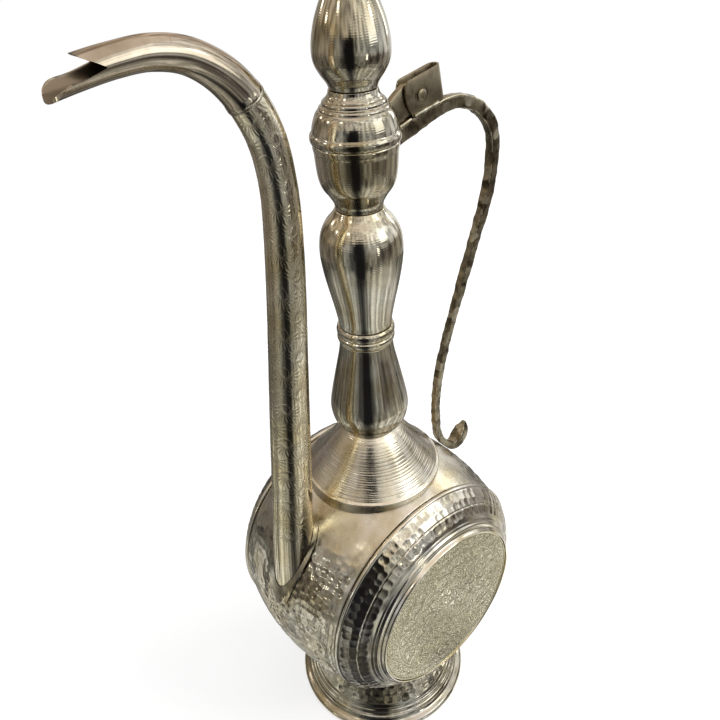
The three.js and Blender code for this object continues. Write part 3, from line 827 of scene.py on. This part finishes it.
def spout_beak():
    """The plain bend: its upper wall ends in a point, and the lower one runs out to a wide, rounded lip."""
    clear = 25
    plan_end_x = -30
    plan_low_z = 340.0
    plan_height = 120
    line, sizes, share = spout_rings(0.8, SPOUT_JOINT + 0.001, 1)
    seam = 0.25 * np.exp(-(((share - SPOUT_JOINT - 0.004) / 0.003) ** 2))
    grid = hollow_tube(line, sizes + seam[:, None], 128)
    # The inner wall is marked darker and rougher: painted shade inside the bend
    inside = np.zeros(grid.shape[:2])
    inside[len(line):] = 1
    made = grid_object("spout_beak_shell", grid, marks={"cut": inside})
    end_x, end_z = LOWER_EDGE[0]
    above = MOUTH_Z + 3 * clear
    far = [[LIP_START_X, above], [end_x - clear, above], [end_x - clear, end_z]]
    mouth = np.vstack([spline(UPPER_EDGE, 6), far, spline(LOWER_EDGE, 5)[:-1]])
    cut(made, plate("mouth_tool", mouth, clear))
    turn = np.linspace(-math.pi / 2, math.pi / 2, 49)
    lip = np.column_stack([LIP_START_X - LIP_LENGTH * np.cos(turn), LIP_HALF * np.sin(turn)])
    sides = [[[plan_end_x, -clear], [LIP_START_X, -clear]], lip, [[LIP_START_X, clear], [plan_end_x, clear]]]
    plan = np.vstack(sides)
    low = np.column_stack([plan, np.full(len(plan), plan_low_z)])
    cut(made, prism("plan_tool", low, low + [0, 0, plan_height]), "INTERSECT")
    finish(made, BEAK, "polished_brass", "spout_beak", crease=20)


def spout_solder():
    """The ring of solder that fills the seam between the tube and the bend."""
    half = 0.002
    line, sizes, share = spout_rings(0.1, SPOUT_JOINT - half, SPOUT_JOINT + half)
    rise = 0.28 * np.sqrt(np.clip(1 - ((share - SPOUT_JOINT) / half) ** 2, 0, 1))
    outer = swept(line, sizes + rise[:, None], 96)
    inner = swept(line, sizes - 0.4, 96)
    made = grid_object("spout_solder_ring", np.vstack([outer, inner[::-1]]))
    finish(made, SOLDER, "polished_brass")


# Handle

HANDLE_LINE = [
    [16.0, 355.4], [30.0, 359.0], [45.7, 362.9], [55.5, 364.3], [64.6, 363.3], [74.2, 359.3], [82.3, 352.4],
    [87.0, 345.0], [88.8, 335.8], [88.2, 323.0], [85.6, 310.4], [80.4, 296.4], [72.8, 276.4], [63.2, 250.7],
    [56.8, 232.0], [52.4, 214.0], [50.2, 197.0], [50.4, 182.0], [52.2, 170.6], [56.4, 162.4], [61.4, 156.6],
    [66.6, 155.2], [71.2, 158.4], [74.2, 163.0], [75.4, 167.2]]
# Share of the way along, half the bar's depth in the plane of the handle, and half its width
HANDLE_SIZE = np.array([
    [0, 4.4, 2.7], [0.06, 4.5, 2.7], [0.1, 3.8, 2.7], [0.13, 3.5, 2.7], [0.3, 3.3, 2.7], [0.6, 2.5, 2.2],
    [0.84, 2.3, 2.2], [0.91, 2.3, 2.4], [0.935, 2.5, 3.2], [0.955, 3.3, 4.2], [0.97, 3.8, 4.4],
    [0.985, 3.0, 3.6], [1, 0.7, 1.2]])


def handle_rings(step):
    line = even(spline(HANDLE_LINE), step)
    share = lengths(line) / lengths(line)[-1]
    return line, np.column_stack([np.interp(share, HANDLE_SIZE[:, 0], HANDLE_SIZE[:, k]) for k in (1, 2)])


def handle():
    """Four rows of hollows along the bar's sides. Its corners are marked lighter, wear with a painted
    highlight on it, and some of the hollows are marked lighter as painted glints.
    """
    around = 48
    line, sizes = handle_rings(0.8)
    grid = swept(line, sizes, around, power=6)
    rng = np.random.default_rng(51)
    centres = []
    for side in range(4):
        for row in range(4, len(line) - 2, 7):
            ring = grid[min(len(line) - 1, row + rng.integers(-2, 3))]
            column = round(around * side / 4 + rng.uniform(-3, 3)) % around
            centres.append(tuple(ring[column]))
    height, dusk = hammered(grid, centres, size=3.8, depth=0.5, seed=52)
    # Lighter marks: wear and a painted highlight along the corners, fainter in the hollows, and painted
    # glints in some hollows
    corner = np.abs((np.arange(around) + 0.5) * 360 / around % 90 - 45)
    marks_and_painted_light = np.repeat(np.clip(1.2 - corner / 14, 0, 1)[None], len(line), axis=0)
    marks_and_painted_light *= 1 - np.clip(-height / 0.12, 0, 1)
    marks_and_painted_light = np.maximum(marks_and_painted_light, dusk**3)
    made = grid_object("handle_bar", raised(grid, height, closed=False), closed=False, marks={"cut": marks_and_painted_light})
    cup = [[0, 340], [18.4, 340], [18.4, 356.8], [19.4, 357.2], [19.6, 360.7], [19.6, 366], [0, 366]]
    cut(made, turned("cup_tool", cup, 96))
    cut(made, barrel_tool(GAP))
    finish(made, DARK, "dark_brass", "handle", crease=50)


# Hinge: a strap folded to a U on the bar, a riveted pin, and the lid's tongue between the two leaves

def hinge_rod(radius):
    """A rod along the hinge axis, to cut its hole."""
    half = 4 * LEAF_OUT
    angle = turns(32)
    rim = np.column_stack([HINGE_X + radius * np.cos(angle), 0 * angle, HINGE_Z + radius * np.sin(angle)])
    return prism("hinge_rod_tool", rim - [0, half, 0], rim + [0, half, 0])


def on_hinge(outline, around):
    """An outline of radius and Y turned about the hinge axis."""
    return facing(outline, around) + [HINGE_X, 0, HINGE_Z - BODY_Z]


LEAF_GROOVE_R = (3.3, 3.9)
LEAF_GROOVE_DEPTH = 0.24


def hinge_strap():
    """The folded sheet, leaning a little, cut to its side view, to the bar and to the pin, with a ring
    pressed round each end of the pin."""
    bend = 46.4
    middle_z = 375
    reach = 30.0
    lean = math.radians(12)
    turn = np.linspace(-math.pi / 2, math.pi / 2, 17)

    def half(radius):
        arc = np.column_stack([bend + radius * np.cos(turn), radius * np.sin(turn)])
        return np.vstack([[[0, -radius]], arc, [[0, radius]]])

    folded = np.vstack([half(LEAF_OUT), half(LEAF_IN)[::-1]])
    ends = []
    for rise in (-reach, reach):
        out = folded[:, 0] - bend
        x = bend + out * math.cos(lean) - rise * math.sin(lean)
        z = middle_z + out * math.sin(lean) + rise * math.cos(lean)
        ends.append(np.column_stack([x, folded[:, 1], z]))
    made = prism("hinge_strap_leaf", *ends)
    side = rounded([
        [31.4, 362.6], [28.4, 367.0], [26.3, 371.6], [25.9, 375.6], [27.1, 379.0], [46.6, 382.8],
        [60, 385.5], [60, 364], [40, 362]], 1.5, 6)
    cut(made, plate("side_tool", side, 2 * LEAF_OUT), "INTERSECT")
    line, sizes = handle_rings(2.0)
    sizes = np.column_stack([sizes[:, 0] + GAP, np.full(len(line), 3 * LEAF_OUT)])
    cut(made, grid_object("bar_tool", swept(line, sizes, 24, power=6), closed=False))
    cut(made, hinge_rod(PIN_R + GAP))
    bevelled(made, 0.24)
    inner, outer = LEAF_GROOVE_R
    low, high = LEAF_OUT - LEAF_GROOVE_DEPTH, LEAF_OUT + 1
    groove = np.array([[inner, low], [outer, low], [outer, high], [inner, high]])
    for way in (-1, 1):
        cut(made, grid_object("ring_tool", on_hinge(groove * [1, way], 64)))
    finish(made, DULL, "dull_brass", "hinge_strap")


HINGE_SOLDER_X = (31.8, 47.4)


def hinge_solder():
    """A lumpy run of solder between the bar and the foot of each leaf."""
    line, sizes = handle_rings(0.35)
    first, last = (np.argmax(line[:, 0] > x) for x in HINGE_SOLDER_X)
    foot = line[first:last] + sizes[first:last, :1] * sideways(line[first:last])
    rng = np.random.default_rng(61)
    for name, side in (("hinge_solder_near", -1), ("hinge_solder_far", 1)):
        lumps = np.convolve(rng.uniform(0.35, 1.0, len(foot) + 4), np.ones(5) / 5, mode="valid")
        lumps = 0.5 + 1.3 * (lumps - 0.5)
        lumps[[0, -1]] = 0.1
        grid = swept(foot, np.column_stack([lumps, lumps]), 12) + [0, side * (LEAF_OUT - 0.1), 0]
        finish(grid_object(name, grid, closed=False), SOLDER, "dull_brass")


def hinge_pin():
    """The pin is riveted over outside both leaves."""
    inner = LEAF_OUT + GAP
    head = 2.5
    half = rounded([
        [PIN_R, inner], [head, inner], [head, inner + 0.4], [1.6, inner + 0.85], [0, inner + 1]],
        0.3, closed=False)
    grid = on_hinge(np.vstack([half[::-1], half * [1, -1]]), 48)
    made = grid_object("hinge_pin_rivet", grid, closed=False)
    finish(made, DULL, "dull_brass", "hinge_pin")


# The lid's outline in plain steps, which the tongue is cut to
LID_RUN = np.array([
    [19.0, MOUTH_Z + GAP], [19.3, 361.7], [19.3, 363.6], [18.9, 364.6], [18.3, 365.2], [18.0, 367.2],
    [17.2, 370.0], [16.2, 372.4], [15.2, 373.8], [14.5, 374.1], [14.3, 375.2], [13.3, 376.1],
    [13.0, 377.2], [11.8, 378.2], [10.8, 379.8], [10.3, 381.6]])
KNUCKLE_R = 5.4


def lid_tongue():
    turn = np.linspace(0.62 * math.pi, -0.6 * math.pi, 25)
    knuckle = np.column_stack([HINGE_X + KNUCKLE_R * np.cos(turn), HINGE_Z + KNUCKLE_R * np.sin(turn)])
    upper = [[12, 364.4], [12, 369], [18.2, 372.0], [22.8, 375.2], [27.0, 377.5]]
    side = np.vstack([upper, knuckle, [[30.2, 364.3], [27.0, 363.5], [19.0, 361.8]]])
    made = plate("lid_tongue_leaf", side, TONGUE_HALF)
    cut(made, turned("dome_tool", np.vstack([[0, 360], LID_RUN + [GAP, 0], [0, 381.6]]), 64))
    cut(made, hinge_rod(PIN_R + 0.4))
    bevelled(made, 0.25)
    finish(made, DULL, "dull_brass", "lid_tongue", body="lid")


# Lid

def lid_outline():
    """The bead, the dome and three rounded steps."""
    bead = spline([[19.0, MOUTH_Z + GAP], [19.35, 361.9], [19.35, 363.4], [18.9, 364.5], [18.45, 365.0]], 5)
    dome = even(spline([[18.3, 365.3], [18.0, 367.2], [17.2, 370.0], [16.2, 372.4], [15.2, 373.7]]), 0.6)
    first = spline([[14.8, 373.9], [14.75, 374.6], [14.3, 375.2], [13.6, 375.6]], 4)
    second = spline([[13.3, 375.9], [13.3, 376.8], [12.8, 377.5], [12.0, 377.9]], 4)
    top = spline([[11.8, 378.3], [11.2, 379.0], [10.6, 380.1], [10.3, 381.6]], 4)
    return np.vstack([bead, dome, first, second, top])


FINIAL_BORE = 2.5


def lid():
    under = np.array([
        [16.6, MOUTH_Z + GAP], [16.6, 364.6], [15.8, 368.2], [14.0, 371.8], [11.0, 374.8], [6.0, 376.8],
        [2.6, 377.0], [2.6, 381.6]])
    # The dome, the finial bulb and its tip take the darker copy of the polished brass: painted shade
    turned_piece("lid_dome_shell", "lid_dome", lid_outline(), under, "lid", SHADED_LID_BRASS)
    bezel = [[15.2, 358.4], [15.2, 360.8], [16.2, 361.4], [16.2, 364.2]]
    bore = np.array([[13.8, 358.4], [13.8, 364.2]])
    turned_piece("lid_bezel_ring", "lid_bezel", bezel, bore, "lid", DULL, "dull_brass", 96)
    bulb = even(spline([
        [9.9, 381.9], [10.8, 384.2], [13.4, 388.0], [15.3, 392.0], [15.8, 396.4], [15.3, 401.4],
        [13.9, 407.2], [11.8, 412.8], [9.2, 418.2], [6.9, 422.4], [6.2, 424.4]]), 0.8)
    hole = np.array([[FINIAL_BORE, 381.9], [FINIAL_BORE, 424.4]])
    turned_piece("finial_bulb_shell", "finial_bulb", bulb, hole, "lid", SHADED_LID_BRASS)
    knop = spline([
        [0, 438.8], [0.9, 438.7], [2.8, 437.2], [4.6, 434.8], [5.3, 432.2], [4.8, 430.0], [3.9, 428.4]], 5)
    collar = [
        [4.6, 427.4], [6.6, 426.2], [6.6, 425.4], [5.6, 424.7], [FINIAL_BORE, 424.7], [FINIAL_BORE, 429.0],
        [0, 429.0]]
    tip = rounded(np.vstack([knop, collar]), 0.5, closed=False)
    made = turned("finial_tip_knop", tip, 96)
    finish(made, SHADED_LID_BRASS, "polished_brass", "finial_tip", body="lid")


# The drop-shaped seat around the foot of the spout

SEAT_RIM = 2.6
SEAT_SHEET = 1.0
SEAT_TIP = (-72.6, 122.5)
SEAT_TIP_SIZE = (14, 8.8)


def spout_tool(extra):
    line, sizes, _ = spout_rings(3.0)
    return grid_object("spout_tool", swept(line, sizes + extra, 96), closed=False)


def spout_seat():
    """A sheet bent to the flask, round the tube and down to a rounded point."""
    length, half = SEAT_TIP_SIZE
    tilt = math.atan2(SEAT_TIP[1] - BODY_Z, -SEAT_TIP[0])
    tip = np.array([SEAT_TIP[0], 0, SEAT_TIP[1]])
    down = np.array([-math.sin(tilt), 0, -math.cos(tilt)])
    inward = np.array([math.cos(tilt), 0, -math.sin(tilt)])
    flat = rounded([[-length, -half], [0, 0], [-length, half]], 2.0, 6)
    corners = tip + flat[:, :1] * down + flat[:, 1:] * np.array([0, 1, 0])
    made = spout_tool(SEAT_RIM)
    cut(made, prism("tip_tool", corners - 10 * inward, corners + 10 * inward), "UNION")
    cut(made, barrel_tool(GAP + SEAT_SHEET), "INTERSECT")
    cut(made, barrel_tool(GAP))
    cut(made, spout_tool(GAP))
    made.name = "spout_seat_sheet"
    finish(made, SATIN, "satin_brass", "spout_seat", crease=30)


def hidden_pieces():
    """The plate under the foot and the stud in the finial keep their CAD shapes."""
    for name in ("base_plate", "finial_stud"):
        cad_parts[name].material_slots[0].material = DULL


def build():
    flask_band()
    for face in (dish, disc):
        for side in ("front", "back"):
            face(side)
    foot()
    shoulder_cone()
    neck()
    spout_tube()
    spout_beak()
    spout_solder()
    spout_seat()
    handle()
    hinge_strap()
    hinge_solder()
    hinge_pin()
    lid_tongue()
    lid()
    hidden_pieces()


build()


# Camera, at the photograph's place: it looks down and along +X and +Y. Its angles are in radians.

CAMERA_PLACE = Vector((-0.1920, -0.2305, 0.4535))
CAMERA_TURN = 0.682294
CAMERA_TILT = 0.596913
CAMERA_ROLL = -0.0587


def camera():
    data = bpy.data.cameras.new("camera")
    data.sensor_width = 36
    data.lens = 36
    made = bpy.data.objects.new("camera", data)
    bpy.context.scene.collection.objects.link(made)
    turn = Matrix.Rotation(-CAMERA_TURN, 4, "Z") @ Matrix.Rotation(math.pi / 2 - CAMERA_TILT, 4, "X")
    made.matrix_world = Matrix.Translation(CAMERA_PLACE) @ turn @ Matrix.Rotation(CAMERA_ROLL, 4, "Z")
    bpy.context.scene.camera = made


# Stage: a white floor and surround, soft lamps, and a room and cards that only the metal reflects

def seen(tree):
    """1 for rays from the camera, and for what is reflected or seen through glass."""
    path = node(tree, "ShaderNodeLightPath")
    some = math_node(tree, "MAXIMUM", path.outputs["Is Camera Ray"], path.outputs["Is Glossy Ray"])
    return math_node(tree, "MAXIMUM", some, path.outputs["Is Transmission Ray"])


def surround():
    world = bpy.data.worlds.new("surround")
    tree = empty_tree(world)
    light = node(tree, "ShaderNodeBackground", {"Color": (0.95, 0.97, 1.0, 1), "Strength": 0.7})
    white = node(tree, "ShaderNodeBackground", {"Color": (1, 1, 1, 1), "Strength": 1.0})
    mix = node(tree, "ShaderNodeMixShader", {0: seen(tree), 1: light.outputs[0], 2: white.outputs[0]})
    node(tree, "ShaderNodeOutputWorld", {"Surface": mix.outputs[0]})
    bpy.context.scene.world = world


def floor():
    material = bpy.data.materials.new("floor_white")
    tree = empty_tree(material)
    matt = node(tree, "ShaderNodeBsdfDiffuse", {"Color": (0.6, 0.59, 0.575, 1)})
    glow = times(tree, seen(tree), 0.6)
    lift = node(tree, "ShaderNodeEmission", {"Color": (1, 1, 1, 1), "Strength": glow})
    both = node(tree, "ShaderNodeAddShader", {0: matt.outputs[0], 1: lift.outputs[0]})
    node(tree, "ShaderNodeOutputMaterial", {"Surface": both.outputs[0]})
    size = 6000.0
    corners = size * np.array([[-1, -1, 0], [1, -1, 0], [1, 1, 0], [-1, 1, 0]])
    made = mesh_object("floor", corners, [[0, 1, 2, 3]])
    made.data.materials.append(material)


def lamp(name, place, size, power, colour=(1, 1, 1)):
    data = bpy.data.lights.new(name, "AREA")
    data.shape = "RECTANGLE"
    data.size, data.size_y = size
    data.energy = power
    data.color = colour
    made = bpy.data.objects.new(name, data)
    made.location = place
    aim = Vector((0, 0, 0.2)) - Vector(place)
    made.rotation_euler = aim.to_track_quat("-Z", "Y").to_euler()
    bpy.context.scene.collection.objects.link(made)


def only_reflected(made, material):
    """Makes a card that nothing but a reflection shows."""
    made.data.materials.append(material)
    for ray in ("camera", "diffuse", "shadow", "transmission"):
        setattr(made, f"visible_{ray}", False)


def shining(name, colour):
    """A material that needs no light. Its colour is a value, or is made by nodes."""
    material = bpy.data.materials.new(name)
    tree = empty_tree(material)
    shade = colour(tree) if callable(colour) else (*colour, 1)
    light = node(tree, "ShaderNodeEmission", {"Color": shade, "Strength": 1.0})
    node(tree, "ShaderNodeOutputMaterial", {"Surface": light.outputs[0]})
    return material


# The room that the metal reflects: its wall has three rows of tones by azimuth, which is 0 on the -Y side and
# 90 on the +X side. The rows meet at two heights, and STREAKS is how far their edges waver.
ROOM_R = 650
ROOM_TOP = 1300
ROOM_AROUND = 96
LOW_ROW_TOP = 270
MIDDLE_ROW_TOP = 560
STREAKS = 160
LOW_TONES = {
    -180: (.15, .13, .12), -130: (.18, .16, .14), -100: (.19, .17, .15), -80: (.26, .26, .24),
    -68: (.10, .10, .10), -60: (.03, .03, .03), -34: (.03, .03, .03), -26: (.23, .24, .23),
    -5: (.31, .31, .30), 5: (.12, .11, .11), 30: (.10, .09, .08), 60: (.22, .20, .18),
    90: (.38, .36, .34), 120: (.66, .65, .63), 150: (.34, .33, .32)}
MIDDLE_TONES = {
    -180: (.31, .27, .22), -150: (.27, .23, .18), -120: (.33, .29, .24), -90: (.31, .30, .28),
    -72: (.35, .35, .36), -62: (.05, .05, .06), -34: (.05, .05, .06), -28: (.39, .40, .40),
    0: (.51, .52, .53), 30: (.34, .34, .34), 60: (.51, .52, .54), 80: (.81, .82, .83),
    120: (.90, .90, .90), 150: (.49, .48, .47)}
HIGH_TONES = {
    -180: (.44, .37, .29), -120: (.59, .50, .40), -70: (.56, .51, .44), -45: (.62, .57, .52),
    -20: (.91, .87, .80), 30: (.99, .99, .97), 80: (.95, .93, .92), 130: (.70, .58, .50),
    160: (.46, .37, .30)}
CEILING_TONE = (.92, .81, .73)
MAT_TONES = {
    -180: (.22, .21, .19), -130: (.52, .51, .46), -95: (.64, .64, .59), -70: (.40, .40, .38),
    -58: (.06, .06, .06), -38: (.05, .05, .05), -26: (.42, .42, .39), 0: (.72, .71, .67),
    40: (1.0, .99, .93), 75: (.59, .57, .54), 110: (.39, .38, .36), 150: (.23, .22, .20)}
MAT_RADII = (57, 648)


def tones(tree, share, colours):
    """A ramp of colours by azimuth, which meets itself on the far side."""
    made = node(tree, "ShaderNodeValToRGB", {"Fac": share})
    ramp = made.color_ramp
    stops = sorted(colours.items()) + [(180, colours[-180])]
    for _ in stops[2:]:
        ramp.elements.new(0.5)
    for element, (azimuth, colour) in zip(ramp.elements, stops):
        element.position = (azimuth + 180) / 360
        element.color = (*colour, 1)
    return made.outputs[0]


def by_azimuth(tree):
    """The place, its height, and its azimuth as a share of a turn."""
    place = node(tree, "ShaderNodeTexCoord").outputs["Object"]
    x, y, z = node(tree, "ShaderNodeSeparateXYZ", {0: place}).outputs
    turn = math_node(tree, "ARCTAN2", x, times(tree, y, -1.0))
    return place, z, math_node(tree, "ADD", math_node(tree, "DIVIDE", turn, FULL_TURN), 0.5)


def room_colour(tree):
    """The three rows one above the other, broken up by soft upright streaks."""
    place, z, share = by_azimuth(tree)
    uneven = noise(tree, vector_node(tree, "MULTIPLY", place, (11, 11, 4)), 1.0, 3.0, 0.6)
    height = math_node(tree, "ADD", z, times(tree, uneven, STREAKS * MM))
    rows = tones(tree, share, LOW_TONES)
    for row_top, colours in ((LOW_ROW_TOP, MIDDLE_TONES), (MIDDLE_ROW_TOP, HIGH_TONES)):
        edge = (row_top + STREAKS / 2) * MM
        above = ranged(tree, height, edge - 0.02, edge + 0.02, 0, 1)
        rows = blended(tree, above, rows, tones(tree, share, colours))
    return vector_node(tree, "MULTIPLY", rows, ranged(tree, uneven, 0.36, 0.66, 0.3, 1.9))


def mat_colour(tree):
    """Lighter near the foot, with bright specks there, and streaks that run outward further off."""
    place, _, share = by_azimuth(tree)
    away = vector_node(tree, "LENGTH", place, output="Value")
    toward = vector_node(tree, "NORMALIZE", place)
    rays = vector_node(tree, "MULTIPLY_ADD", toward, (5.0, 5.0, 5.0), place)
    patches = ranged(tree, noise(tree, place, 18.0, 5.0, 0.75), 0.38, 0.64, 0.5, 1.5)
    streaks = ranged(tree, noise(tree, rays, 1.6, 3.0, 0.6), 0.38, 0.62, 0.2, 1.5)
    specks = ranged(tree, noise(tree, place, 48.0, 2.0, 0.5), 0.62, 0.7, 0, 4.0)
    specks = times(tree, specks, ranged(tree, away, 0.16, 0.30, 1, 0))
    strength = math_node(tree, "ADD", times(tree, patches, streaks), specks)
    for fade in ((0.16, 0.30, 0.97, 0.95), (0.40, 0.47, 1, 0.42)):
        strength = times(tree, strength, ranged(tree, away, *fade))
    return vector_node(tree, "MULTIPLY", tones(tree, share, MAT_TONES), strength)


def room():
    angle = turns(ROOM_AROUND)
    rim = np.column_stack([ROOM_R * np.cos(angle), ROOM_R * np.sin(angle), 0 * angle])
    top = rim + [0, 0, ROOM_TOP]
    near, far = (rim * (radius / ROOM_R) + [0, 0, 0.3] for radius in MAT_RADII)
    faces = grid_faces(2, ROOM_AROUND, False).tolist()
    wall = mesh_object("room_wall", np.vstack([rim, top]), faces)
    only_reflected(wall, shining("room_tones", room_colour))
    mat = mesh_object("room_mat", np.vstack([near, far]), faces)
    only_reflected(mat, shining("mat_tones", mat_colour))
    ceiling = mesh_object("room_ceiling", top * [1.2, 1.2, 1], [list(range(ROOM_AROUND))])
    only_reflected(ceiling, shining("ceiling_tone", CEILING_TONE))


# Cards inside the room: azimuth, distance, width, low and high edge, colour
CARDS = {
    "card_front": (-45, 330, 140, 0, 480, (.012, .012, .014)),
    "card_front_low": (-48, 400, 330, 40, 180, (.06, .06, .06)),
    "light_left": (-124, 600, 50, 600, 660, (7, 7, 7)),
    "light_back_left": (-160, 600, 50, 560, 640, (6, 5.5, 5)),
    "light_right": (40, 600, 90, 640, 720, (6, 6, 6)),
    "light_far_right": (92, 600, 60, 380, 600, (5, 5, 5)),
    "window": (28, 620, 300, 440, 700, (2.0, 2.0, 1.95)),
    "light_low_left": (-98, 600, 40, 240, 300, (4, 4, 3.6)),
    "light_low_right": (4, 600, 40, 200, 300, (4, 4, 3.8)),
    "light_high_left": (-84, 560, 60, 760, 860, (6, 5.6, 5)),
}


def card(name, azimuth, distance, width, low, high, shade):
    angle = math.radians(azimuth)
    away = np.array([math.sin(angle), -math.cos(angle), 0])
    side = np.array([math.cos(angle), math.sin(angle), 0])
    corners = [away * distance + side * w * width / 2 + [0, 0, h]
               for w, h in ((-1, low), (1, low), (1, high), (-1, high))]
    made = mesh_object(name, np.array(corners), [[0, 1, 2, 3]])
    only_reflected(made, shining(name, shade))


def stage():
    surround()
    floor()
    room()
    for name, values in CARDS.items():
        card(name, *values)
    lamp("key", (0.5, -0.9, 1.0), (0.4, 0.4), 5)
    lamp("fill", (0.9, -0.4, 0.9), (0.5, 0.5), 5, (1, 0.97, 0.92))
    bpy.context.scene.view_settings.view_transform = "Standard"


camera()
stage()
